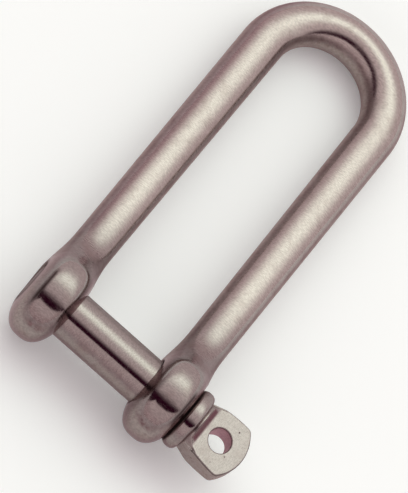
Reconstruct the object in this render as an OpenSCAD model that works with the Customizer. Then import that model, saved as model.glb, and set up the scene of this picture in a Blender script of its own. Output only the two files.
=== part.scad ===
// Long D shackle with a screw pin, forged in stainless steel, lying flat as it comes to rest.
// The pin runs along X with its tab at +X, and the legs run along +Y to the bow.

/* [Bow and legs] */
// Diameter of the bar round the bow
bow_d = 10.9; // [8:0.1:12]
// Diameter of the bar where each leg meets its neck
neck_d = 10.2; // [8:0.1:12]
// Distance between the axes of the two legs
leg_spacing = 34.8; // [30:0.2:44]
// Distance from the axis of the pin to the centre of the bow
leg_length = 90; // [60:1:140]

/* [Forged eyes] */
// Outer diameter of each eye
eye_d = 23.2; // [20:0.2:28]
// Thickness of each eye along the pin
eye_t = 12.6; // [10:0.2:15]
// Squareness of the eye's section, where 2 is round
eye_squareness = 2.6; // [2.2:0.1:5]
// Radius of the hollow from the eye down to the leg
neck_fillet = 12; // [6:0.5:18]
// Depth to which the near eye is faced flat for the collar
seat_depth = 0.9; // [0.5:0.05:1.2]

/* [Screw pin] */
// Diameter of the pin's plain shank
pin_d = 12; // [8:0.2:13]
// Depth of the thread on the pin's far end, with the end drawn at mid thread
thread_depth = 0.8; // [0.4:0.1:1.2]
// Distance that the pin's far end stays inside its eye
pin_recess = 0.5; // [0:0.1:2]
// Diameter of the collar that stops the pin
collar_d = 15.8; // [15:0.2:20]
// Thickness of the collar
collar_t = 3.75; // [1.5:0.05:4.5]

/* [Tab] */
// Thickness of the tab at its end
tab_t = 4.2; // [3:0.1:6]
// Thickness of the tab at its root
tab_root_t = 7.4; // [5:0.1:9]
// Width of the tab where it is widest
tab_w = 14.6; // [13:0.1:18]
// Length of the tab from the collar to the middle of its end
tab_l = 13.6; // [12:0.1:18]
// Radius of the tab's rounded end
tab_end_r = 10.5; // [8.5:0.5:20]
// Diameter of the lanyard hole
lanyard_d = 5.8; // [3:0.1:6.4]
// Angle at which the tab stands to the plane of the bow when the pin is tight
tab_turn = 6; // [-90:1:90]

/* [Clearances] */
// Clearance all round the pin's threaded end in the far eye
pin_clearance = 0.1; // [0.02:0.02:0.1]
// Clearance all round the shank in the near eye's plain hole
hole_clearance = 0.4; // [0.1:0.05:0.6]
// Clearance between the collar and the face of its eye
collar_clearance = 0.05; // [0.02:0.01:0.3]

/* [Hidden] */
BODY_STEEL = [0.74, 0.70, 0.66];
PIN_STEEL = [0.68, 0.64, 0.61];
round_steps = 96;

// Bow and legs
bow_r = bow_d / 2;
neck_r = neck_d / 2;
leg_x = leg_spacing / 2;
eye_r = eye_d / 2;
rest_tilt = asin((eye_r - bow_r) / (leg_length + leg_x));

// Hollow neck, in distances from the axis of the pin toward the bow
fillet_end = sqrt(pow(eye_r + neck_fillet, 2) - pow(neck_r + neck_fillet, 2));
fillet_start = fillet_end * eye_r / (eye_r + neck_fillet);
waist_start = 2;
neck_run_out = 2;
neck_end = fillet_end + neck_run_out;
spigot_l = 1;
spigot_inset = 0.02;

// Rings of points along an eye and its neck
ring_steps = 48;
half_ring = ring_steps / 2;
neck_rings = 16;
rim_rows = 24;
ROUND_SECTION = 2;

// Pin, in distances from the middle of the pin toward its tab
outer_face = leg_x + eye_t / 2;
inner_face = leg_x - eye_t / 2;
collar_seat = outer_face - seat_depth;
seat_margin = 0.5;
thread_d = pin_d - thread_depth;
pin_tip = -(outer_face - pin_recess);
tip_chamfer = 1.2;
shank_step = -inner_face + pin_clearance;
collar_start = collar_seat + collar_clearance;
collar_end = collar_start + collar_t;
collar_edge_share = 0.29;
collar_edge = collar_t * collar_edge_share;
cut_past = 1;

// Tab
root_x = collar_end - collar_edge / 2;
root_land = 0.8;
hollow_l = 1.35;
hollow_rise = 1.15;
hollow_start = collar_end + root_land;
tab_end = collar_end + tab_l;
tab_taper = atan((tab_root_t - tab_t) / 2 / (tab_end - hollow_start));
widest_share = 0.69;
widest_x = collar_end + tab_l * widest_share;
tab_side_r = (pow(widest_x - collar_end, 2) + pow((tab_w - pin_d) / 2, 2)) / (tab_w - pin_d);
lanyard_share = 0.48;
lanyard_x = collar_end + tab_l * lanyard_share;
skirt_share = 0.36;
skirt_x = collar_end + tab_l * skirt_share;
edge_ease = 0.15;
widest_t = tab_root_t - 2 * (widest_x - hollow_start) * tan(tab_taper);
tab_skirt_r = norm([tab_w, widest_t]) / 2 - edge_ease;

function ease(u) = let (c = min(1, max(0, u))) c * c * (3 - 2 * c);
function blend(a, b, u) = a + (b - a) * u;

// Half height of the forging at distance y from the pin: rim circle, hollow, then straight leg
function half_height(y) =
    y < fillet_start ? sqrt(pow(eye_r, 2) - pow(y, 2))
    : y < fillet_end ? neck_r + neck_fillet - sqrt(pow(neck_fillet, 2) - pow(fillet_end - y, 2))
    : neck_r;

// Half width of the forging at distance y from the pin
function half_width(y) = blend(eye_t / 2, neck_r, ease((y - waist_start) / (neck_end - waist_start)));

// Squareness of the section at distance y from the pin
function squareness(y) = blend(eye_squareness, ROUND_SECTION, ease(y / fillet_end));

// Point at an angle round a section between a round and a square one
function section_point(w, h, n, angle) = [
    w * sign(cos(angle)) * pow(abs(cos(angle)), 2 / n),
    h * sign(sin(angle)) * pow(abs(sin(angle)), 2 / n)
];

// Ring of points round the forging at distance y from the pin, drawn in by an inset
function ring(y, inset = 0) = [
    for (i = [0 : ring_steps - 1])
        let (p = section_point(half_width(y) - inset, half_height(y) - inset, squareness(y),
                               360 * i / ring_steps))
        [p.x, y, p.y]
];

// Points of the rim's profile turned round the pin, without the two points on the pin's axis
function rim_row(turn) = [
    for (j = [1 : half_ring - 1])
        let (p = section_point(eye_t / 2, eye_r, eye_squareness, 180 * j / half_ring))
        [p.x, -p.y * sin(turn), p.y * cos(turn)]
];

// Eye and neck as one forging, centred on the pin's axis, with a spigot into the leg
module forged_end() {
    stations = [for (k = [0 : neck_rings]) neck_end * (1 - k / neck_rings)];
    spigot = [for (p = ring(neck_end, spigot_inset)) p + [0, spigot_l, 0]];
    rings = concat([spigot, ring(neck_end, spigot_inset)],
                   [for (k = [1 : neck_rings]) ring(stations[k])]);
    rows = [for (k = [1 : rim_rows - 1]) rim_row(180 * k / rim_rows)];
    points = concat([for (r = rings) each r], [for (r = rows) each r]);
    last_ring = (len(rings) - 1) * ring_steps;
    first_row = len(rings) * ring_steps;
    rim_index = function (row, j)
        j == 0 || j == half_ring || row == 0 ? last_ring + j
        : row == rim_rows ? last_ring + ring_steps - j
        : first_row + (row - 1) * (half_ring - 1) + j - 1;
    neck_faces = [
        for (k = [0 : len(rings) - 2], i = [0 : ring_steps - 1])
            let (a = k * ring_steps + i,
                 b = k * ring_steps + (i + 1) % ring_steps,
                 c = b + ring_steps,
                 d = a + ring_steps)
            each [[a, c, b], [a, d, c]]
    ];
    rim_faces = [
        for (row = [0 : rim_rows - 1], j = [0 : half_ring - 1])
            let (a = rim_index(row, j),
                 b = rim_index(row, j + 1),
                 c = rim_index(row + 1, j + 1),
                 d = rim_index(row + 1, j))
            each (j == 0 ? [[a, c, b]] : j == half_ring - 1 ? [[a, d, b]] : [[a, c, b], [a, d, c]])
    ];
    start_face = [for (i = [0 : ring_steps - 1]) i];
    polyhedron(points = points, faces = concat([start_face], neck_faces, rim_faces), convexity = 4);
}

// Hole along the pin through the eye centred at x
module eye_hole(x, d) {
    translate([x, 0, 0])
        rotate([0, 90, 0])
            cylinder(h = eye_t + 2 * cut_past, d = d, center = true, $fn = round_steps);
}

// Flat seat for the collar on the near eye
module collar_facing() {
    translate([collar_seat, 0, 0])
        rotate([0, 90, 0])
            cylinder(h = seat_depth + cut_past, d = collar_d + 2 * seat_margin, $fn = round_steps);
}

// Round bar of the bow, with both legs drawn down to the necks
module bar() {
    translate([0, leg_length, 0])
        rotate_extrude(angle = 180, $fn = round_steps)
            translate([leg_x, 0])
                circle(d = bow_d, $fn = round_steps);
    for (side = [-1, 1])
        translate([side * leg_x, neck_end, 0])
            rotate([-90, 0, 0])
                cylinder(h = leg_length - neck_end, d1 = neck_d, d2 = bow_d, $fn = round_steps);
}

// Bow, legs and eyes in one forging: plain hole at the tab's side, threaded hole at the far side
module shackle_body() {
    color(BODY_STEEL)
        rotate([-rest_tilt, 0, 0])
            difference() {
                union() {
                    bar();
                    for (side = [-1, 1])
                        translate([side * leg_x, 0, 0])
                            forged_end();
                }
                eye_hole(leg_x, pin_d + 2 * hole_clearance);
                collar_facing();
                eye_hole(-leg_x, thread_d + 2 * pin_clearance);
            }
}

// Half section of the turned part of the pin, with the axis of the pin upright
module turned_half() {
    polygon([
        [0, pin_tip],
        [thread_d / 2 - tip_chamfer, pin_tip],
        [thread_d / 2, pin_tip + tip_chamfer],
        [thread_d / 2, shank_step],
        [pin_d / 2, shank_step],
        [pin_d / 2, collar_end - collar_edge],
        [0, collar_end - collar_edge]
    ]);
    translate([0, collar_start + collar_edge])
        square([collar_d / 2, collar_t - 2 * collar_edge]);
    translate([0, collar_start])
        square([collar_d / 2 - collar_edge, collar_t]);
    for (x = [collar_start + collar_edge, collar_end - collar_edge])
        translate([collar_d / 2 - collar_edge, x])
            circle(r = collar_edge, $fn = round_steps);
}

// Outline of the tab seen on its face: bowed sides that leave the shank, and a rounded end
module tab_outline() {
    intersection_for (side = [-1, 1])
        intersection() {
            translate([widest_x, side * (tab_side_r - tab_w / 2)])
                circle(r = tab_side_r, $fn = round_steps);
            union() {
                translate([root_x, -tab_w / 2])
                    square([max(cut_past, tab_end - tab_end_r - root_x), tab_w]);
                intersection() {
                    translate([tab_end - tab_end_r, 0])
                        circle(r = tab_end_r, $fn = round_steps);
                    translate([root_x, -tab_w / 2])
                        square([tab_end - root_x, tab_w]);
                }
            }
        }
}

// Outline of the tab seen on its edge: a hollow on each side cuts the round root down to a tapering blade
module tab_edge_outline() {
    reach = tab_l + cut_past;
    difference() {
        translate([root_x, -collar_d / 2])
            square([tab_end - root_x, collar_d]);
        for (side = [0, 1])
            mirror([0, side])
                translate([hollow_start, tab_root_t / 2])
                    rotate(-tab_taper)
                        polygon([
                            [0, collar_d],
                            [0, hollow_rise],
                            [hollow_l, 0],
                            [reach, 0],
                            [reach, collar_d]
                        ]);
    }
}

// Round root of the tab, widening toward its middle so that the blade's edges are eased
module tab_envelope() {
    translate([root_x, 0, 0])
        rotate([0, 90, 0])
            cylinder(h = skirt_x - root_x, d1 = pin_d, r2 = tab_skirt_r, $fn = round_steps);
    translate([skirt_x, 0, 0])
        rotate([0, 90, 0])
            cylinder(h = tab_end - skirt_x, r = tab_skirt_r, $fn = round_steps);
}

// Shank with its threaded end, collar and tab in one piece
module screw_pin() {
    color(PIN_STEEL)
        rotate([tab_turn - rest_tilt, 0, 0])
            difference() {
                union() {
                    rotate([0, 90, 0])
                        rotate_extrude($fn = round_steps)
                            turned_half();
                    intersection() {
                        linear_extrude(height = collar_d, center = true)
                            tab_outline();
                        rotate([90, 0, 0])
                            linear_extrude(height = tab_w + 2 * cut_past, center = true)
                                tab_edge_outline();
                        tab_envelope();
                    }
                }
                translate([lanyard_x, 0, 0])
                    cylinder(h = pin_d, d = lanyard_d, center = true, $fn = round_steps);
            }
}

shackle_body();
screw_pin();
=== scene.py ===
import math

import bmesh
import bpy
import numpy as np
from mathutils import Matrix, Vector


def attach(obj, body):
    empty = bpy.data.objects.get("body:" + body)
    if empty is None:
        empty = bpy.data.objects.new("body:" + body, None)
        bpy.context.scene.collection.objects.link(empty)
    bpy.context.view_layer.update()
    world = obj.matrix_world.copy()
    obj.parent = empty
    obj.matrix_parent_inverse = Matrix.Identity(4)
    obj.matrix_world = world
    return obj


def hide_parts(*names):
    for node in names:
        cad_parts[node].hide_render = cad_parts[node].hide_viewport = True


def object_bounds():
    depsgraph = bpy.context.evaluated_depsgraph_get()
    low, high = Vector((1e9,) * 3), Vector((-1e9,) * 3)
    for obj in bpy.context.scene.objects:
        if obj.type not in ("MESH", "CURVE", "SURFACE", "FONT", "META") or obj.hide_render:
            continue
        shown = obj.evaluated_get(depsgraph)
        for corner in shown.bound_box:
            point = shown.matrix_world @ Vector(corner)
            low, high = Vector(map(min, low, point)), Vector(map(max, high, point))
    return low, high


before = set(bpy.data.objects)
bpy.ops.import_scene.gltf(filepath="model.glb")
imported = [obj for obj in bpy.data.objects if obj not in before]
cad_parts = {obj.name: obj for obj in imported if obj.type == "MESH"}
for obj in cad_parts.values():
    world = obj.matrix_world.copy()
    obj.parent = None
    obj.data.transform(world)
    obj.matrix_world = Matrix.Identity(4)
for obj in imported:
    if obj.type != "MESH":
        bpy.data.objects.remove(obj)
cad_box = [[float(c) for c in corner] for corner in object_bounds()]

MM = 0.001

# Sizes of the part in millimetres, with X along the pin, Y toward the bow and Z up
BOW_D, NECK_D = 10.9, 10.2
LEG_SPACING, LEG_LENGTH = 34.8, 90.0
EYE_D, EYE_T, EYE_SQUARENESS = 23.2, 12.6, 2.6
WAIST_START, NECK_FILLET, NECK_RUN_OUT = 2.0, 12.0, 2.0
NECK_HOLLOW_BEFORE, NECK_HOLLOW_AFTER = 2.5, 5.0
SEAT_DEPTH, SEAT_MARGIN, SEAT_EDGE = 0.9, 0.5, 0.5
PIN_D, THREAD_DEPTH, PIN_RECESS = 12.0, 0.8, 0.5
COLLAR_D, COLLAR_T, COLLAR_BULGE, COLLAR_ROUND = 15.8, 3.75, 1.6, 2.3
TAB_T, TAB_ROOT_T, TAB_W, TAB_L, TAB_END_R = 4.2, 7.4, 14.6, 13.6, 10.5
LANYARD_D, TAB_TURN = 5.8, 6.0
PIN_CLEARANCE, HOLE_CLEARANCE, COLLAR_CLEARANCE = 0.1, 0.4, 0.05
SHANK_SEAT, SHANK_SEAT_GAP = 0.9, 0.04
ROOT_LAND, LAND_STEEPNESS = 0.8, 6.0
HOLLOW_L, HOLLOW_RISE, HOLLOW_FILLET = 1.35, 1.15, 0.25
EDGE_EASE = 0.15
# Shares of the tab's length, and of the collar's thickness for its root
TAB_WIDEST, LANYARD_ALONG, SKIRT_ALONG, ROOT_INTO_COLLAR = 0.69, 0.48, 0.36, 0.145

bow_r, neck_r, eye_r, pin_r = BOW_D / 2, NECK_D / 2, EYE_D / 2, PIN_D / 2
leg_x = LEG_SPACING / 2
rest_tilt = math.asin((eye_r - bow_r) / (LEG_LENGTH + leg_x))
pin_tilt = math.radians(TAB_TURN) - rest_tilt
fillet_end = math.sqrt((eye_r + NECK_FILLET) ** 2 - (neck_r + NECK_FILLET) ** 2)
fillet_start = fillet_end * eye_r / (eye_r + NECK_FILLET)
neck_end = fillet_end + NECK_RUN_OUT
hollow_run_in = fillet_start - NECK_HOLLOW_BEFORE
hollow_run_out = fillet_end + NECK_HOLLOW_AFTER
outer_face, inner_face = leg_x + EYE_T / 2, leg_x - EYE_T / 2
collar_seat = outer_face - SEAT_DEPTH
thread_d = PIN_D - THREAD_DEPTH
pin_tip = -(outer_face - PIN_RECESS)
shank_step = -inner_face - SHANK_SEAT + PIN_CLEARANCE
collar_start = collar_seat + COLLAR_CLEARANCE
collar_end = collar_start + COLLAR_T
hollow_start = collar_end + ROOT_LAND
tab_end = collar_end + TAB_L
tab_slope = (TAB_ROOT_T - TAB_T) / 2 / (tab_end - hollow_start)
widest_x = collar_end + TAB_WIDEST * TAB_L
lanyard_x = collar_end + LANYARD_ALONG * TAB_L
skirt_x = collar_end + SKIRT_ALONG * TAB_L
root_x = collar_end - ROOT_INTO_COLLAR * COLLAR_T
tab_side_r = ((widest_x - collar_end) ** 2 + ((TAB_W - PIN_D) / 2) ** 2) / (TAB_W - PIN_D)
widest_t = TAB_ROOT_T - 2 * (widest_x - hollow_start) * tab_slope
tab_skirt_r = math.hypot(TAB_W, widest_t) / 2 - EDGE_EASE

# Softened edges, the depth of the tab's root in the collar, and the neck's first ring past a
# hole's mouth, in millimetres. TAB_EDGE_SHARE is a share of the tab's half thickness
MOUTH_R, SHANK_EDGE_R = 0.5, 0.3
TAB_EDGE_R, LANYARD_EDGE_R, TAB_EDGE_SHARE = 0.4, 0.4, 0.8
TAB_CORNER_BLEND, SKIRT_BLEND, SKIRT_LEAST_SQUARE = 0.5, 0.3, 0.04
TAB_SUNK = 0.8
TIP_CHAMFER = 1.2
NECK_RING_OFF = 3.2

# Thread in millimetres. The groove's form is in half pitches, and in the bore the thread fades
# over one part in BORE_FADE of the length at each end
PITCH, GROOVE, CREST_GAP = 1.75, 0.75, 0.05
GROOVE_FLOOR, GROOVE_FLANK = 1.12, 1.35
THREAD_START, THREAD_STOP = 0.05, 0.1
THREAD_RUN_OUT_GAP, THREAD_RUN_OUT = 0.3, 1.6
BORE_FADE = 8

# Numbers of quads or rows along each patch, and rings as shares of a radius
RIM_STEPS, HOLE_STEPS, FACE_STEPS, SEAT_STEPS = 26, 64, 22, 72
NECK_STEPS, LEG_STEPS, BOW_STEPS = 44, 16, 110
MOUTH_STEPS, BORE_STEPS, THREAD_ROWS = 5, 10, 14
PIN_STEPS, SHANK_ROWS, SHANK_EDGE_ROWS, COLLAR_ROWS = 144, 24, 4, 41
TAB_RAYS, TAB_STEPS, TAB_SIDE_STEPS = 240, 64, 8
TIP_RINGS, CAP_RINGS = (0, 0.35, 0.7, 0.95), (0.9, 0.6, 0.3, 0)
RIM_SAMPLES = 2001

# Distances in metres below which points and slivers are joined, and the crease angle in degrees
JOIN, SLIVER = 1e-7, 2e-6
CREASE = 38
# What counts as nothing, and a reach past any outline, in millimetres
TINY, FAR = 1e-6, 1e3


def ease(u):
    """A step from 0 to 1 that is smooth to its second derivative"""
    c = np.clip(u, 0, 1)
    return c ** 3 * (c * (6 * c - 15) + 10)


def half_height(y):
    """Half height of the forging at distance y from the pin: rim, smooth hollow, straight leg"""
    y = np.asarray(y, float)
    rim = np.sqrt(np.maximum(eye_r ** 2 - y ** 2, 0))
    span = hollow_run_out - hollow_run_in
    u = np.clip((y - hollow_run_in) / span, 0, 1)
    high = math.sqrt(eye_r ** 2 - hollow_run_in ** 2)
    fall = -hollow_run_in / high * span
    bend = -eye_r ** 2 / high ** 3 * span ** 2
    hollow = (neck_r * (10 * u ** 3 - 15 * u ** 4 + 6 * u ** 5)
              + high * (1 - 10 * u ** 3 + 15 * u ** 4 - 6 * u ** 5)
              + fall * (u - 6 * u ** 3 + 8 * u ** 4 - 3 * u ** 5)
              + bend * (u ** 2 - 3 * u ** 3 + 3 * u ** 4 - u ** 5) / 2)
    return np.where(y < hollow_run_in, rim, hollow)


def half_width(y):
    """Half width of the forging at distance y from the pin, narrowing from eye to neck"""
    narrowed = ease((np.asarray(y) - WAIST_START) / (neck_end - WAIST_START))
    return EYE_T / 2 + (neck_r - EYE_T / 2) * narrowed


def squareness(y):
    """Power of the section's rounded outline: squarish at the eye, and 2 for the round neck"""
    return EYE_SQUARENESS + (2 - EYE_SQUARENESS) * ease(np.asarray(y) / fillet_end)


def section(y, angle):
    """Point of the section at distance y from the pin: outward from the leg's axis, and up"""
    n = squareness(y)
    c, s = np.cos(angle), np.sin(angle)
    return (half_width(y) * np.sign(c) * np.abs(c) ** (2 / n),
            half_height(y) * np.sign(s) * np.abs(s) ** (2 / n))


def section_angle(y, z):
    """Angle of the section's point at height z"""
    return np.sign(z) * np.arcsin((np.abs(z) / half_height(y)) ** (squareness(y) / 2))


def thread_form(x, y, z):
    """Groove of a right-handed thread about X: 0 on the crest and 1 at the groove's bottom"""
    phase = (x / PITCH - np.arctan2(z, y) / (2 * math.pi)) % 1
    return np.clip(GROOVE_FLOOR - np.abs(2 * phase - 1) * GROOVE_FLANK, 0, 1)


def add_object(name, data):
    """A new object in the scene"""
    made = bpy.data.objects.new(name, data)
    bpy.context.scene.collection.objects.link(made)
    return made


class Shell:
    """Quads gathered patch by patch, with points that coincide joined at the end"""

    def __init__(self):
        self.points, self.faces, self.count = [], [], 0

    def patch(self, x, y, z, wrap=False):
        """A grid of points as quads, closed from its last column to its first where it wraps"""
        grid = np.stack(np.broadcast_arrays(x, y, z), -1).astype(float)
        rows, cols = grid.shape[:2]
        index = self.count + np.arange(rows * cols).reshape(rows, cols)
        if wrap:
            index = np.concatenate([index, index[:, :1]], axis=1)
        quads = [index[:-1, :-1], index[:-1, 1:], index[1:, 1:], index[1:, :-1]]
        self.faces += np.stack(quads, -1).reshape(-1, 4).tolist()
        self.points.append(grid.reshape(-1, 3))
        self.count += rows * cols

    def build(self, name, turn):
        """The finished object, turned about the pin's axis"""
        points = np.concatenate(self.points) * MM
        mesh = bpy.data.meshes.new(name)
        mesh.from_pydata(points.tolist(), [], self.faces)
        mesh.transform(Matrix.Rotation(turn, 4, "X"))
        tidy(mesh)
        return add_object(name, mesh)


def tidy(mesh):
    """Joins coincident points, turns every face outward and shades the mesh smooth"""
    bm = bmesh.new()
    bm.from_mesh(mesh)
    bmesh.ops.remove_doubles(bm, verts=bm.verts, dist=JOIN)
    bmesh.ops.dissolve_degenerate(bm, dist=JOIN, edges=bm.edges)
    bmesh.ops.recalc_face_normals(bm, faces=bm.faces)
    for face in bm.faces:
        face.smooth = True
    bm.to_mesh(mesh)
    bm.free()


def quarter_turn(steps):
    """Angles of a quarter circle as a column, for a rounded edge"""
    return np.linspace(0, math.pi / 2, steps + 1)[:, None]


def rim_angles(first):
    """Angles from the hole's mouth to the crown of the rim, evenly spaced along the section"""
    fine = np.linspace(first, math.pi / 2, RIM_SAMPLES)
    out, up = section(np.zeros_like(fine), fine)
    run = np.concatenate([[0], np.cumsum(np.hypot(np.diff(out), np.diff(up)))])
    return np.interp(np.linspace(0, run[-1], RIM_STEPS + 1), run, fine)


def add_eye(shell, side, bore_r, seated, threaded):
    """One eye with its hole, from the rim to the ring where the neck starts"""
    mouth = bore_r + MOUTH_R
    ring_y = mouth + NECK_RING_OFF

    def put(out, y, z, wrap=False):
        shell.patch(side * (leg_x + out), y, z, wrap)

    def seat(out, y, z):
        inside = ease((COLLAR_D / 2 + SEAT_MARGIN + SEAT_EDGE - np.hypot(y, z)) / SEAT_EDGE)
        return out - np.maximum(out - collar_seat + leg_x, 0) * inside if seated else out

    # Rim, round the side away from the neck
    first = float(section_angle(0.0, mouth))
    rise = rim_angles(first)
    round_rim = np.concatenate([rise, math.pi - rise[-2::-1]])
    turn = np.linspace(0, math.pi, HOLE_STEPS + 1)[:, None]
    out, reach = section(np.zeros_like(round_rim), round_rim)
    y, z = -reach * np.sin(turn), reach * np.cos(turn)
    put(seat(np.broadcast_to(out, y.shape), y, z), y, z)

    # Both faces, from the rim's ends and the hole to the neck's ring
    around = np.linspace(math.pi / 2, -math.pi / 2, HOLE_STEPS + 1)
    hole_y, hole_z = mouth * np.abs(np.cos(around)), mouth * np.sin(around)
    hole_y[[0, -1]] = 0
    start_y = np.concatenate([np.zeros(RIM_STEPS), hole_y, np.zeros(RIM_STEPS)])
    start_angle = np.concatenate([rise[:0:-1], section_angle(hole_y, hole_z), -rise[1:]])
    end_angle = np.linspace(math.pi / 2, -math.pi / 2, start_y.size)
    share = np.linspace(0, 1, (SEAT_STEPS if seated else FACE_STEPS) + 1)[:, None]
    for sign in (1, -1):
        y = start_y + (ring_y - start_y) * share
        out, z = section(y, start_angle + (end_angle - start_angle) * share)
        put(seat(out, y, z) if sign > 0 else -out, y, z)

    # Rounded mouths of the hole, with a step for the shank in the threaded eye
    loop = np.concatenate([turn[:-1, 0] + math.pi / 2, math.pi * 1.5 + turn[:-1, 0]])
    loop_c, loop_s = np.cos(loop), np.sin(loop)
    loop_y, loop_z = mouth * loop_c, mouth * loop_s
    above = np.maximum(loop_y, 0)
    face_out = np.where(loop_y > TINY, section(above, section_angle(above, loop_z))[0],
                        section(0.0, first)[0])
    bend = quarter_turn(MOUTH_STEPS)
    ends = []
    for lip, sign in ((seat(face_out, loop_y, loop_z), 1), (face_out, -1)):
        takes_shank = threaded and sign < 0
        foot_r = pin_r + SHANK_SEAT_GAP if takes_shank else bore_r
        r, end = foot_r + (mouth - foot_r) * (1 - np.sin(bend)), lip - (mouth - foot_r)
        lip_out = lip - (mouth - foot_r) * (1 - np.cos(bend))
        put(sign * lip_out, r * loop_c, r * loop_s, True)
        if takes_shank:
            step = np.full_like(lip, EYE_T / 2 - SHANK_SEAT)
            r = np.array([[foot_r], [foot_r], [bore_r]])
            put(sign * np.stack([end, step, step]), r * loop_c, r * loop_s, True)
            end = step
        ends.append(sign * end)

    # Bore, with its thread fading out at both ends
    rows = int(EYE_T / PITCH * THREAD_ROWS) if threaded else BORE_STEPS
    along = np.linspace(0, 1, rows + 1)[:, None]
    top, bottom = ends
    out = top + (bottom - top) * along
    r = np.full(out.shape, bore_r)
    if threaded:
        fade = ease(along * BORE_FADE) * ease((1 - along) * BORE_FADE)
        x = side * (leg_x + out)
        r = r + GROOVE * fade * thread_form(x, loop_c, loop_s)
    put(out, r * loop_c, r * loop_s, True)
    return ring_y


def make_body():
    """Bow, legs and eyes as one closed surface"""
    shell = Shell()
    ring_y = {1: add_eye(shell, 1, pin_r + HOLE_CLEARANCE, True, False),
              -1: add_eye(shell, -1, thread_d / 2 + PIN_CLEARANCE, False, True)}
    columns = 2 * (2 * RIM_STEPS + HOLE_STEPS)
    angle = math.pi / 2 - 2 * math.pi * np.arange(columns) / columns

    def leg(side):
        y_neck = np.linspace(ring_y[side], hollow_run_out, NECK_STEPS + 1)[:, None]
        out, z = section(y_neck, angle)
        y_leg = np.linspace(hollow_run_out, LEG_LENGTH, LEG_STEPS + 1)[1:, None]
        r = neck_r + (bow_r - neck_r) * (y_leg - hollow_run_out) / (LEG_LENGTH - hollow_run_out)
        out = np.concatenate([out, r * np.cos(angle)])
        z = np.concatenate([z, r * np.sin(angle)])
        y = np.concatenate([y_neck, y_leg]) + np.zeros_like(angle)
        return side * (leg_x + out), y, z

    swing = np.linspace(0, math.pi, BOW_STEPS + 1)[1:-1, None]
    reach = leg_x + bow_r * np.cos(angle)
    bow = (reach * np.cos(swing), LEG_LENGTH + reach * np.sin(swing),
           bow_r * np.sin(angle) + np.zeros_like(swing))
    near, far = leg(1), leg(-1)
    runs = [np.concatenate([a, b, c[::-1]]) for a, b, c in zip(near, bow, far)]
    shell.patch(*runs, wrap=True)
    return shell.build("shackle_forging", -rest_tilt)


def make_shank():
    """Turned part of the pin: threaded end, shank and collar"""
    shell = Shell()
    theta = 2 * math.pi * np.arange(PIN_STEPS) / PIN_STEPS
    c, s = np.cos(theta), np.sin(theta)
    crest = thread_d / 2 + PIN_CLEARANCE - CREST_GAP
    tip_r = crest - TIP_CHAMFER
    rows_x, rows_r = [], []

    def row(x, r):
        rows_x.append(np.full(PIN_STEPS, float(x)))
        rows_r.append(np.broadcast_to(r, PIN_STEPS).astype(float))

    for share in TIP_RINGS:
        row(pin_tip, tip_r * share)
    for x in np.arange(pin_tip + THREAD_START, shank_step - THREAD_STOP, PITCH / THREAD_ROWS):
        fade = ease((shank_step - THREAD_RUN_OUT_GAP - x) / THREAD_RUN_OUT)
        cut = crest - GROOVE * fade * thread_form(x, c, s)
        row(x, np.minimum(cut, tip_r + x - pin_tip))
    row(shank_step, crest)
    for bend in np.linspace(0, math.pi / 2, SHANK_EDGE_ROWS):
        row(shank_step + SHANK_EDGE_R * (1 - math.cos(bend)),
            pin_r - SHANK_EDGE_R * (1 - math.sin(bend)))
    for x in np.linspace(shank_step + 2 * SHANK_EDGE_R, collar_start, SHANK_ROWS):
        row(x, pin_r)
    foot = COLLAR_D / 2 - COLLAR_BULGE
    row(collar_start, (pin_r + foot) / 2)
    for bend in np.linspace(-math.pi / 2, math.pi / 2, COLLAR_ROWS):
        across = math.copysign(abs(math.sin(bend)) ** (2 / COLLAR_ROUND), bend)
        out = math.cos(bend) ** (2 / COLLAR_ROUND)
        row(collar_start + COLLAR_T / 2 * (1 + across), foot + COLLAR_BULGE * out)
    for share in CAP_RINGS:
        row(collar_end, foot * share)
    x, r = np.array(rows_x), np.array(rows_r)
    shell.patch(x, r * c, r * s, wrap=True)
    return shell.build("screw_pin_turned", 0)


def soft_min(a, b, k):
    """Smaller of two values, with the corner between them rounded over a width k"""
    h = np.clip(0.5 + 0.5 * (b - a) / k, 0, 1)
    return b + (a - b) * h - k * h * (1 - h)


def tab_height(x, v):
    """Half thickness of the tab at a point of its face"""
    flat = TAB_ROOT_T / 2 - (x - hollow_start) * tab_slope
    slope = flat + (hollow_start + HOLLOW_L - x) * HOLLOW_RISE / HOLLOW_L
    land = np.maximum(hollow_start - x, 0) * LAND_STEEPNESS
    blade = -soft_min(-flat, -slope, HOLLOW_FILLET) + land
    skirt = pin_r + (tab_skirt_r - pin_r) * np.clip((x - root_x) / (skirt_x - root_x), 0, 1)
    round_root = np.sqrt(np.maximum(skirt ** 2 - v ** 2, SKIRT_LEAST_SQUARE))
    return soft_min(blade, round_root, SKIRT_BLEND)


def tab_reach(ray):
    """Distance from the lanyard hole's axis to the tab's outline along a ray"""
    c, s = np.cos(ray), np.abs(np.sin(ray))

    def to_circle(cx, cv, r):
        along = (cx - lanyard_x) * c + cv * s
        return along + np.sqrt(along ** 2 - (cx - lanyard_x) ** 2 - cv ** 2 + r ** 2)

    reach = soft_min(to_circle(widest_x, TAB_W / 2 - tab_side_r, tab_side_r),
                     to_circle(tab_end - TAB_END_R, 0, TAB_END_R), TAB_CORNER_BLEND)
    inside_collar = collar_end - TAB_SUNK
    root = np.where(c < -TINY, (inside_collar - lanyard_x) / np.minimum(c, -TINY), FAR)
    return np.minimum(reach, root)


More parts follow.
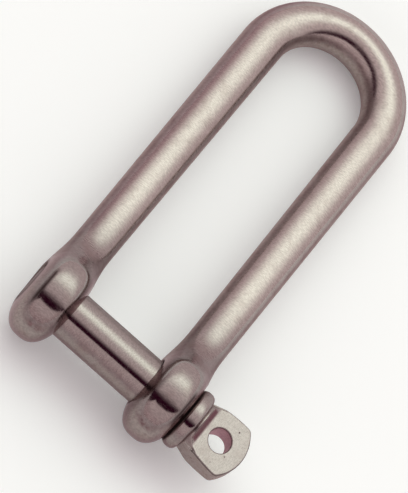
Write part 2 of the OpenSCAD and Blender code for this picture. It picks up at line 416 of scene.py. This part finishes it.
def make_tab():
    """Tab of the pin with its lanyard hole, its root let into the collar"""
    shell = Shell()
    ray = 2 * math.pi * np.arange(TAB_RAYS) / TAB_RAYS
    c, s = np.cos(ray), np.sin(ray)

    def put(distance, z):
        shell.patch(lanyard_x + distance * c, distance * s, z, wrap=True)

    hole_r = LANYARD_D / 2
    reach = tab_reach(ray)
    share = np.linspace(0, 1, TAB_STEPS + 1)[:, None]
    lip, edge = hole_r + LANYARD_EDGE_R, reach - TAB_EDGE_R
    face_d = lip + (edge - lip) * share
    top = tab_height(lanyard_x + face_d * c, face_d * s)
    bend = quarter_turn(MOUTH_STEPS)
    lip_d = hole_r + LANYARD_EDGE_R * (1 - np.sin(bend))
    lip_z = top[0] - LANYARD_EDGE_R * (1 - np.cos(bend))
    edge_drop = np.minimum(TAB_EDGE_R, TAB_EDGE_SHARE * top[-1])
    edge_d = edge + TAB_EDGE_R * np.sin(bend)
    edge_z = top[-1] - edge_drop * (1 - np.cos(bend))
    for sign in (1, -1):
        put(face_d, sign * top)
        put(lip_d, sign * lip_z)
        put(edge_d, sign * edge_z)
    across = np.linspace(1, -1, TAB_SIDE_STEPS + 1)[:, None]
    put(hole_r, lip_z[-1] * across)
    put(reach, edge_z[-1] * across)
    return shell.build("tab", 0)


def make_pin():
    """Shank, collar and tab joined into one piece"""
    piece, tab = make_shank(), make_tab()
    join = piece.modifiers.new("join", "BOOLEAN")
    join.operation, join.solver, join.object = "UNION", "EXACT", tab
    bpy.context.view_layer.update()
    evaluated = piece.evaluated_get(bpy.context.evaluated_depsgraph_get())
    joined = bpy.data.meshes.new_from_object(evaluated)
    piece.modifiers.clear()
    piece.data = joined
    bpy.data.objects.remove(tab)
    joined.transform(Matrix.Rotation(pin_tilt, 4, "X"))
    bm = bmesh.new()
    bm.from_mesh(joined)
    bmesh.ops.remove_doubles(bm, verts=bm.verts, dist=SLIVER)
    bmesh.ops.triangulate(bm, faces=[face for face in bm.faces if len(face.verts) > 4])
    bmesh.ops.dissolve_degenerate(bm, dist=SLIVER, edges=bm.edges)
    bm.to_mesh(joined)
    bm.free()
    for face in joined.polygons:
        face.use_smooth = True
    joined.set_sharp_from_angle(angle=math.radians(CREASE))
    return piece


def feed(tree, socket, value):
    """Links another node's socket into an input, or sets a plain value on it"""
    if isinstance(value, bpy.types.NodeSocket):
        tree.links.new(value, socket)
    else:
        socket.default_value = value


def math_node(tree, operation, *values):
    """A math node fed with sockets or numbers, and its result"""
    node = tree.nodes.new("ShaderNodeMath")
    node.operation = operation
    for socket, value in zip(node.inputs, values):
        feed(tree, socket, value)
    return node.outputs[0]


def fold_node(tree, operation, first, *others):
    """One operation taken through two or more sockets or numbers in turn"""
    for other in others:
        first = math_node(tree, operation, first, other)
    return first


def off_node(tree, value, middle):
    """How far a value is from a middle, on either side"""
    return math_node(tree, "ABSOLUTE", math_node(tree, "SUBTRACT", value, middle))


def length_node(tree, a, b):
    """Length of a line with two legs at right angles"""
    squares = math_node(tree, "MULTIPLY", a, a), math_node(tree, "MULTIPLY", b, b)
    return math_node(tree, "SQRT", math_node(tree, "ADD", *squares))


def step_node(tree, value, start, end, low=0.0, high=1.0):
    """A smooth step from low to high as the value goes from start to end"""
    node = tree.nodes.new("ShaderNodeMapRange")
    node.interpolation_type = "SMOOTHSTEP"
    tree.links.new(value, node.inputs["Value"])
    ranges = (("From Min", start), ("From Max", end), ("To Min", low), ("To Max", high))
    for name, number in ranges:
        node.inputs[name].default_value = number
    return node.outputs["Result"]


def bell_node(tree, value, middle, width):
    """A bell curve of the value about its middle"""
    off = math_node(tree, "DIVIDE", math_node(tree, "SUBTRACT", value, middle), width)
    return math_node(tree, "EXPONENT", fold_node(tree, "MULTIPLY", off, off, -1.0))


def mix_node(tree, share, a, b, blend="MIX"):
    """A mix of two colours, given as sockets or values"""
    node = tree.nodes.new("ShaderNodeMix")
    node.data_type, node.blend_type = "RGBA", blend
    for name, value in (("Factor_Float", share), ("A_Color", a), ("B_Color", b)):
        socket = next(i for i in node.inputs if i.identifier == name)
        feed(tree, socket, (*value, 1) if isinstance(value, tuple) else value)
    return next(o for o in node.outputs if o.identifier == "Result_Color")


def tint_node(tree, share, colour, tint):
    """A colour multiplied by a tint where the share is 1, and left alone where it is 0"""
    return mix_node(tree, share, colour, mix_node(tree, 1.0, colour, tint, "MULTIPLY"))


def coordinate(tree, kind):
    """Texture coordinate of one kind"""
    return tree.nodes.new("ShaderNodeTexCoord").outputs[kind]


def split_node(tree, vector):
    """The three parts of a vector"""
    node = tree.nodes.new("ShaderNodeSeparateXYZ")
    tree.links.new(vector, node.inputs[0])
    return node.outputs[:3]


def noise_node(tree, place, scale, detail):
    """Noise of a size given by its scale at a place"""
    node = tree.nodes.new("ShaderNodeTexNoise")
    tree.links.new(place, node.inputs["Vector"])
    node.inputs["Scale"].default_value = scale
    node.inputs["Detail"].default_value = detail
    return node.outputs[0]


def stretch_node(tree, place, factors):
    """A place with each of its three coordinates multiplied by a factor"""
    node = tree.nodes.new("ShaderNodeVectorMath")
    node.operation = "MULTIPLY"
    tree.links.new(place, node.inputs[0])
    node.inputs[1].default_value = factors
    return node.outputs[0]


def bump_node(tree, height, depth, below=None):
    """Relief of a depth in metres, laid over other relief where that is given"""
    node = tree.nodes.new("ShaderNodeBump")
    node.inputs["Strength"].default_value = 1
    node.inputs["Distance"].default_value = depth
    tree.links.new(height, node.inputs["Height"])
    if below:
        tree.links.new(below, node.inputs["Normal"])
    return node.outputs[0]


def pits_node(tree, place, scale, size, share):
    """Sparse round pits: 1 in a pit and 0 elsewhere"""
    node = tree.nodes.new("ShaderNodeTexVoronoi")
    tree.links.new(place, node.inputs["Vector"])
    node.inputs["Scale"].default_value = scale
    pick = split_node(tree, node.outputs["Color"])
    chosen = math_node(tree, "LESS_THAN", pick[0], share)
    radius = math_node(tree, "MULTIPLY", pick[1], size)
    outward = math_node(tree, "DIVIDE", node.outputs["Distance"], radius)
    depth = math_node(tree, "SUBTRACT", 1.0, outward)
    return math_node(tree, "MULTIPLY", chosen, step_node(tree, depth, 0.0, PIT_WALL))


def part_place(tree, turn):
    """Place on the part in millimetres, turned back to the part's own axes about the pin"""
    turned = tree.nodes.new("ShaderNodeVectorRotate")
    turned.rotation_type = "X_AXIS"
    turned.inputs["Angle"].default_value = -turn
    tree.links.new(coordinate(tree, "Object"), turned.inputs["Vector"])
    place = stretch_node(tree, turned.outputs[0], (1 / MM, 1 / MM, 1 / MM))
    return place, *split_node(tree, place)


def past(start, offsets):
    """Values at two offsets past a start"""
    return [start + offset for offset in offsets]


# Steel's colours, with tints of painted shade and painted light. Each tint multiplies the colour
# below it
EYE_STEEL, LEG_STEEL = (0.292, 0.264, 0.254), (0.372, 0.335, 0.318)
SHANK_STEEL, TAB_STEEL = (0.292, 0.264, 0.254), (0.360, 0.338, 0.322)
STAIN, GRIME_AND_SHADE = (0.255, 0.21, 0.195), (0.055, 0.036, 0.036)
HOLLOW_SHADE, BORE_LIGHT = (0.15, 0.062, 0.08), (0.55, 0.37, 0.42)
# Tints of the painted shade on the sides and underside
SIDE_SHADE_TINT, LOW_SHADE_TINT = (0.68, 0.55, 0.58), (1.0, 0.90, 0.88)
BLOTCH, FRONT_REFLECTION_TINT, FLANK_SHADE_TINT = (0.80, 0.72, 0.75), (0.64, 0.46, 0.50), (0.72, 0.58, 0.63)
EDGE_TINT = (0.84, 0.70, 0.73)

# Noises, as scale per millimetre and detail, and pits, as scale, size and share
MOTTLE_NOISE, BLOTCH_NOISE, GRAIN_NOISE = (0.3, 5.0), (1.1, 3.0), (2.6, 2.5)
MARK_NOISE, WAVE_NOISE = (0.8, 3.0), (0.16, 1.0)
RING_NOISE, DENT_NOISE = (1.0, 2.0), (0.5, 3.0)
FORGED_BRUSH, TURNED_BRUSH, RING_STRETCH = (0.5, 1.5, 0.5), (1.3, 0.7, 0.7), (7.0, 0.06, 0.06)
FORGED_PITS, TAB_PITS = (0.5, 0.07, 0.3), (0.62, 0.22, 0.55)
FORGED_PIT_SHARE, PIT_WALL = 0.35, 0.5

# Depths of relief in metres
GRAIN_DEPTH, PIT_DEPTH, WAVE_DEPTH, RING_DEPTH, DENT_DEPTH = 4e-6, 4e-5, 5e-5, 3e-6, 3e-5

# Painted shade, stains, dirt and wear. A step is its start and end and, where given, what it goes
# from and to.
# Sides and underside are painted browner and darker than the top as shade, in mottled patches, and
# are also duller
SIDE_SHADE_RANGE, LOW_SHADE_RANGE, DULL_RANGE = (0.76, 0.44), (0.55, 0.2), (0.80, 0.52)
SIDE_SHADE_PATCHES, STAIN_PATCHES = (0.35, 0.65, 0.75, 1.0), (0.5, 0.75, 0.0, 0.3)
BLOTCH_RANGE, BLOTCH_ON_SHADE = (0.45, 0.75), (0.0, 1.0, 0.2, 0.8)
GRAIN_SHADE, GRAIN_ROUGHNESS = (0.25, 0.75, 0.85, 1.12), (0.3, 0.7, -0.02, 0.04)
MOTTLE_ROUGHNESS, DIRT_ROUGHNESS, PIT_DIRT = (0.45, 0.7, 0.0, 0.06), 0.25, 0.8
NECK_SHADE, NECK_DULLNESS, PIN_DULLNESS = 0.55, 0.16, 0.22

# The forging's steps along Y, X and Z in millimetres, and bells as middle and width
LEG_RANGE, NECK_FROM, NECK_TO = (12, 34), (4.5, 8.5), (17.5, 12.5)
SIDE_DULLNESS, FORGED_ROUGHNESS = (6, 16, 0.08, 0.30), (8, 16, 0.09, 0.14)
MARK_UP, MARK_ACROSS, MARK_FRONT = (4.0, 0.9), (-0.5, 2.4), (-7, -9)
MARK_PATCHES = (0.35, 0.6, 0.3, 1.0)
FLANK_FACING, FLANK_RANGE, FLANK_SIDES = (-0.70, 0.21), (12, 22), (-6, 6, 0.9, 0.3)
HOLE_SHADE_OFF, HOLE_SHADE, HOLE_SHADE_SIDES = (0.9, 0.2), 0.85, (-1, 1, 0.6, 1.0)
SHOULDER_OFF, SHOULDER_WIDTH, SHOULDER_DARK_REFLECTION = (-1, 1, 3.45, 4.1), 0.42, 0.95
SHOULDER_ALONG, SHOULDER_UP = (2.0, -0.5), (5.0, 8.5)

# The pin's steps along X in millimetres from its own features, and by the way a face looks
TAB_FROM, TAB_ROUGH_FROM, TURNED_ROUGHNESS = (-0.1, 0.5), (-0.2, 0.6), (0.09, 0.26)
BORE_LIGHT_OFF = (0.2, 0.05)
SEAT_SHADE, STEP_SHADE = (0.7, 0.25, 0.0, 0.9), (0.35, 0.1, 0.0, 0.3)
TIP_SHADE_FROM, TIP_SHADE = (2.5, 0.8), 0.6
HOLLOW_OFF, HOLLOW_SHADE_SHARE, HOLLOW_ACROSS = (0.2, -0.4), 0.92, (5.2, 4.2)
EDGE_SHADE, EDGE_FACING, EDGE_FROM = (0.97, 0.85, 0.0, 0.55), (0.1, 0.35), (0.0, 0.8)
BEARING_DULLNESS = (0.15, 0.40, 0.0, 0.25)


def new_steel(name):
    """A bare metal, with its tree and its shader"""
    material = bpy.data.materials.new(name)
    material.use_nodes = True
    tree = material.node_tree
    shader = tree.nodes["Principled BSDF"]
    shader.inputs["Metallic"].default_value = 1
    shader.inputs["Specular Tint"].default_value = (*EDGE_TINT, 1)
    return material, tree, shader


def finish_steel(tree, shader, place, brush, colour, painted_shade, neck_dull_and_shade, side_dull, roughness, relief,
                 pits):
    """Joins painted shade of sides, underside, crevices and edges, stains, grain and dirt in pits
    to a steel's own colour and relief
    """
    mottle = noise_node(tree, place, *MOTTLE_NOISE)
    blotch = noise_node(tree, place, *BLOTCH_NOISE)
    grain = noise_node(tree, stretch_node(tree, place, brush), *GRAIN_NOISE)
    upward = split_node(tree, coordinate(tree, "Normal"))[2]

    # Painted shade: sides and underside darker and browner than the top by the way they face, in
    # mottled patches, joined by the neck's painted shade
    side_and_neck_shade = math_node(tree, "MAXIMUM", step_node(tree, upward, *SIDE_SHADE_RANGE),
                        math_node(tree, "MULTIPLY", neck_dull_and_shade, NECK_SHADE))
    side_and_neck_shade = math_node(tree, "MULTIPLY", side_and_neck_shade, step_node(tree, mottle, *SIDE_SHADE_PATCHES))
    tint = mix_node(tree, step_node(tree, upward, *LOW_SHADE_RANGE), SIDE_SHADE_TINT, LOW_SHADE_TINT)
    colour = mix_node(tree, step_node(tree, mottle, *STAIN_PATCHES), colour, STAIN)
    colour = tint_node(tree, side_and_neck_shade, colour, tint)
    blotched = math_node(tree, "MULTIPLY", step_node(tree, blotch, *BLOTCH_RANGE),
                         step_node(tree, side_and_neck_shade, *BLOTCH_ON_SHADE))
    colour = tint_node(tree, blotched, colour, BLOTCH)
    grey = tree.nodes.new("ShaderNodeCombineColor")
    shade = step_node(tree, grain, *GRAIN_SHADE)
    for socket in grey.inputs[:3]:
        tree.links.new(shade, socket)
    colour = mix_node(tree, 1.0, colour, grey.outputs[0], "MULTIPLY")
    # Dark colour from dirt in pits and from painted shade at crevices, edges and dark reflection
    # lines
    dirt_and_shade = math_node(tree, "MAXIMUM", painted_shade, math_node(tree, "MULTIPLY", pits, PIT_DIRT))
    tree.links.new(mix_node(tree, dirt_and_shade, colour, GRIME_AND_SHADE), shader.inputs["Base Color"])

    on_side = math_node(tree, "MULTIPLY", step_node(tree, upward, *DULL_RANGE), side_dull)
    rough = fold_node(tree, "ADD", roughness, step_node(tree, grain, *GRAIN_ROUGHNESS), on_side,
                      math_node(tree, "MULTIPLY", neck_dull_and_shade, NECK_DULLNESS),
                      step_node(tree, mottle, *MOTTLE_ROUGHNESS),
                      math_node(tree, "MULTIPLY", dirt_and_shade, DIRT_ROUGHNESS))
    tree.links.new(rough, shader.inputs["Roughness"])

    relief = bump_node(tree, grain, GRAIN_DEPTH, relief)
    surface = math_node(tree, "SUBTRACT", 1.0, pits)
    tree.links.new(bump_node(tree, surface, PIT_DEPTH, relief), shader.inputs["Normal"])


def forged_steel(name):
    """Forged and polished bar: brighter legs, duller eyes, faint waves, painted shade at the holes,
    neck and flanks, painted dark reflections on the eyes
    """
    material, tree, shader = new_steel(name)
    place, x, y, z = part_place(tree, -rest_tilt)
    sideways = split_node(tree, coordinate(tree, "Normal"))[0]
    off_eye = math_node(tree, "SUBTRACT", math_node(tree, "ABSOLUTE", x), leg_x)

    colour = mix_node(tree, step_node(tree, y, *LEG_RANGE), EYE_STEEL, LEG_STEEL)
    # Painted dark reflection on each eye's front, tinted red-brown, in patches
    mark_patches = step_node(tree, noise_node(tree, place, *MARK_NOISE), *MARK_PATCHES)
    front_reflection = fold_node(tree, "MULTIPLY", bell_node(tree, z, *MARK_UP),
                     bell_node(tree, off_eye, *MARK_ACROSS), step_node(tree, y, *MARK_FRONT),
                     mark_patches)
    colour = tint_node(tree, front_reflection, colour, FRONT_REFLECTION_TINT)
    # Painted shade on the legs' sides that face -X, strongest on the leg at -X
    flank_shade = fold_node(tree, "MULTIPLY", bell_node(tree, sideways, *FLANK_FACING),
                      step_node(tree, y, *FLANK_RANGE), step_node(tree, x, *FLANK_SIDES))
    colour = tint_node(tree, flank_shade, colour, FLANK_SHADE_TINT)

    from_axis = length_node(tree, y, z)
    # Painted shade in the gap round the pin at each eye's hole, stronger on the eye at +X
    hole_shade = step_node(tree, from_axis, *past(pin_r, HOLE_SHADE_OFF), 0.0, HOLE_SHADE)
    hole_shade = math_node(tree, "MULTIPLY", hole_shade, step_node(tree, x, *HOLE_SHADE_SIDES))
    # Painted dark reflection line along each eye's outer shoulder, on its upper front
    shoulder_off = step_node(tree, x, *SHOULDER_OFF)
    shoulder_reflection = fold_node(tree, "MULTIPLY", bell_node(tree, off_eye, shoulder_off, SHOULDER_WIDTH),
                         step_node(tree, y, *SHOULDER_ALONG, 0.0, SHOULDER_DARK_REFLECTION),
                         step_node(tree, z, *SHOULDER_UP))
    painted_shade = math_node(tree, "MAXIMUM", hole_shade, shoulder_reflection)

    roughness = step_node(tree, y, *FORGED_ROUGHNESS)
    waves = bump_node(tree, noise_node(tree, place, *WAVE_NOISE), WAVE_DEPTH)
    pits = math_node(tree, "MULTIPLY", pits_node(tree, place, *FORGED_PITS), FORGED_PIT_SHARE)
    # The neck's hollow is duller, and is painted darker as shade
    neck_dull_and_shade = math_node(tree, "MULTIPLY", step_node(tree, y, *NECK_FROM), step_node(tree, y, *NECK_TO))
    side_dull = step_node(tree, y, *SIDE_DULLNESS)
    finish_steel(tree, shader, place, FORGED_BRUSH, colour, painted_shade, neck_dull_and_shade, side_dull, roughness,
                 waves, pits)
    return material


def turned_steel(name):
    """Turned shank with fine tool rings, a duller forged tab, painted shade in corners, the hollow,
    at the tip and on the tab's edges, and painted light on the lanyard hole's wall
    """
    material, tree, shader = new_steel(name)
    place, x, y, _ = part_place(tree, pin_tilt)
    facing = split_node(tree, coordinate(tree, "Normal"))
    on_tab = step_node(tree, x, *past(collar_end, TAB_FROM))

    colour = mix_node(tree, on_tab, SHANK_STEEL, TAB_STEEL)
    # Painted light on the lanyard hole's wall: a lighter pink-brown than the steel
    from_hole = length_node(tree, math_node(tree, "SUBTRACT", x, lanyard_x), y)
    in_bore_light = step_node(tree, from_hole, *past(LANYARD_D / 2, BORE_LIGHT_OFF))
    colour = mix_node(tree, in_bore_light, colour, BORE_LIGHT)
    # Painted shade, red-brown, in the hollow between the collar and the tab
    off_hollow = off_node(tree, x, hollow_start + HOLLOW_L / 2)
    in_hollow_shade = step_node(tree, off_hollow, *past(HOLLOW_L / 2, HOLLOW_OFF), 0.0, HOLLOW_SHADE_SHARE)
    between = step_node(tree, math_node(tree, "ABSOLUTE", y), *HOLLOW_ACROSS)
    colour = mix_node(tree, math_node(tree, "MULTIPLY", in_hollow_shade, between), colour, HOLLOW_SHADE)

    level = math_node(tree, "ABSOLUTE", facing[2])
    # Painted shade on the tab's rounded edges, between its faces and its sides
    edge_shade = fold_node(tree, "MULTIPLY", step_node(tree, level, *EDGE_SHADE),
                        step_node(tree, level, *EDGE_FACING),
                        step_node(tree, x, *past(hollow_start + HOLLOW_L, EDGE_FROM)))
    # Painted shade in the gap at the collar's seat and in the corner at the shank's step
    seat_shade = step_node(tree, off_node(tree, x, collar_start), *SEAT_SHADE)
    step_shade = step_node(tree, off_node(tree, x, shank_step), *STEP_SHADE)
    # Painted shade on the pin's tip, sunk in the far eye's hole
    tip_shade = step_node(tree, x, *past(pin_tip, TIP_SHADE_FROM), 0.0, TIP_SHADE)
    painted_shade = fold_node(tree, "MAXIMUM", seat_shade, step_shade, tip_shade, edge_shade)

    roughness = step_node(tree, x, *past(collar_end, TAB_ROUGH_FROM), *TURNED_ROUGHNESS)
    bears = step_node(tree, facing[1], *BEARING_DULLNESS)
    roughness = math_node(tree, "ADD", roughness, bears)
    rings = noise_node(tree, stretch_node(tree, place, RING_STRETCH), *RING_NOISE)
    rings = math_node(tree, "MULTIPLY", rings, step_node(tree, on_tab, 0.0, 1.0, 1.0, 0.0))
    dents = math_node(tree, "MULTIPLY", noise_node(tree, place, *DENT_NOISE), on_tab)
    relief = bump_node(tree, dents, DENT_DEPTH, bump_node(tree, rings, RING_DEPTH))
    pits = math_node(tree, "MULTIPLY", pits_node(tree, place, *TAB_PITS), on_tab)
    finish_steel(tree, shader, place, TURNED_BRUSH, colour, painted_shade, 0.0, PIN_DULLNESS, roughness,
                 relief, pits)
    return material


body = make_body()
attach(body, "shackle")
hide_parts("shackle_body")
pin = make_pin()
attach(pin, "pin")
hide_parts("screw_pin")
steels = (body, forged_steel("forged_stainless")), (pin, turned_steel("turned_stainless"))
for piece, steel in steels:
    piece.data.materials.clear()
    piece.data.materials.append(steel)

# Camera at the photograph's angle: degrees, millimetres, pixels, and clip distances in metres
IMAGE_H = 493
ELEVATION, AZIMUTH, ROLL = 62.05, -8.94, 49.60
DISTANCE, PIXELS_PER_MM = 1181.2, 4.281
AIM = Vector((0, 50, -3))
AIM_RIGHT, AIM_UP = 22.0, 43.2
SENSOR_H, CLIP_START, CLIP_END = 24, 0.01, 50
el, az, roll = (math.radians(a) for a in (ELEVATION, AZIMUTH, ROLL))
back = Vector((math.sin(az) * math.cos(el), -math.cos(az) * math.cos(el), math.sin(el)))
level = Vector((math.cos(az), math.sin(az), 0))
right = math.cos(roll) * level + math.sin(roll) * back.cross(level)
up = back.cross(right)
centre = AIM - (AIM_RIGHT * right + AIM_UP * up) / PIXELS_PER_MM
lens = bpy.data.cameras.new("camera")
lens.sensor_fit = "VERTICAL"
lens.sensor_height = SENSOR_H
lens.lens = SENSOR_H * PIXELS_PER_MM * DISTANCE / IMAGE_H
lens.clip_start, lens.clip_end = CLIP_START, CLIP_END
camera = add_object("camera", lens)
stand = Matrix((right, up, back)).transposed().to_4x4()
stand.translation = (centre + back * DISTANCE) * MM
camera.matrix_world = stand
bpy.context.scene.camera = camera

# Pale floor under the part, in metres, whose faint glow is left out of the light it casts
FLOOR_HALF = 3.0
FLOOR_COLOUR, FLOOR_GLOW = (0.84, 0.925, 0.93), 0.14
CORNERS = ((-1, -1), (1, -1), (1, 1), (-1, 1))
floor_z = cad_box[0][2]
floor_mesh = bpy.data.meshes.new("floor")
floor_mesh.from_pydata([(i * FLOOR_HALF, j * FLOOR_HALF, floor_z) for i, j in CORNERS],
                       [], [(0, 1, 2, 3)])
floor = add_object("floor", floor_mesh)
pale = bpy.data.materials.new("pale_floor")
pale.use_nodes = True
ground = pale.node_tree
matt = ground.nodes["Principled BSDF"]
matt.inputs["Base Color"].default_value = (*FLOOR_COLOUR, 1)
matt.inputs["Roughness"].default_value = 1
matt.inputs["Specular IOR Level"].default_value = 0
matt.inputs["Emission Color"].default_value = (1, 1, 1, 1)
ray_kind = ground.nodes.new("ShaderNodeLightPath").outputs
seen = fold_node(ground, "MAXIMUM", ray_kind["Is Glossy Ray"], ray_kind["Is Transmission Ray"],
                 ray_kind["Is Camera Ray"])
glow = math_node(ground, "MULTIPLY", seen, FLOOR_GLOW)
ground.links.new(glow, matt.inputs["Emission Strength"])
floor_mesh.materials.append(pale)

# Soft studio light by direction, in degrees of turn about X and lean along X: a warm panel high
# behind the bow, dim walls, and a dark gap between ceiling and front wall
PANEL_TURN, PANEL_LEAN = (31, 18), (0, 46)
PANEL_COLOUR = (1.19, 1.45, 1.23)
CEILING_COLOUR, FRONT_COLOUR = (1.005, 0.842, 0.843), (0.945, 0.765, 0.77)
FRONT_TO_CEILING = (-60, 10)
GAP_OUTER, GAP_INNER = (-48, -43), (-34, -9)
GAP_DROP_START, GAP_DROP = -38, 1.0
GAP_COLOUR = (0.05, 0.004, 0.022)
LEFT_SIDE, RIGHT_SIDE = (-44, -88, 1.0, 0.30), (44, 88, 1.0, 0.80)
BLACK = (0, 0, 0)
world = bpy.data.worlds.new("studio")
bpy.context.scene.world = world
world.use_nodes = True
sky = world.node_tree
sky_x, sky_y, sky_z = split_node(sky, coordinate(sky, "Generated"))
turn = math_node(sky, "DEGREES", math_node(sky, "ARCTAN2", sky_y, sky_z))
lean = math_node(sky, "DEGREES", math_node(sky, "ARCSINE", sky_x))
walls = mix_node(sky, step_node(sky, turn, *FRONT_TO_CEILING), FRONT_COLOUR, CEILING_COLOUR)
drop = math_node(sky, "MINIMUM", math_node(sky, "SUBTRACT", lean, GAP_DROP_START), 0.0)
dropped = math_node(sky, "SUBTRACT", turn, math_node(sky, "MULTIPLY", drop, GAP_DROP))
past_gap = step_node(sky, dropped, *GAP_OUTER, 1.0, 0.0)
lit = math_node(sky, "MAXIMUM", past_gap, step_node(sky, turn, *GAP_INNER))
sides = math_node(sky, "MULTIPLY", step_node(sky, lean, *LEFT_SIDE),
                  step_node(sky, lean, *RIGHT_SIDE))
panel = math_node(sky, "MULTIPLY", bell_node(sky, turn, *PANEL_TURN),
                  bell_node(sky, lean, *PANEL_LEAN))
room = mix_node(sky, math_node(sky, "MULTIPLY", lit, sides), GAP_COLOUR, walls)
light = mix_node(sky, 1.0, room, mix_node(sky, panel, BLACK, PANEL_COLOUR), "ADD")
sky.links.new(light, sky.nodes["Background"].inputs["Color"])
bpy.context.scene.view_settings.view_transform = "Standard"
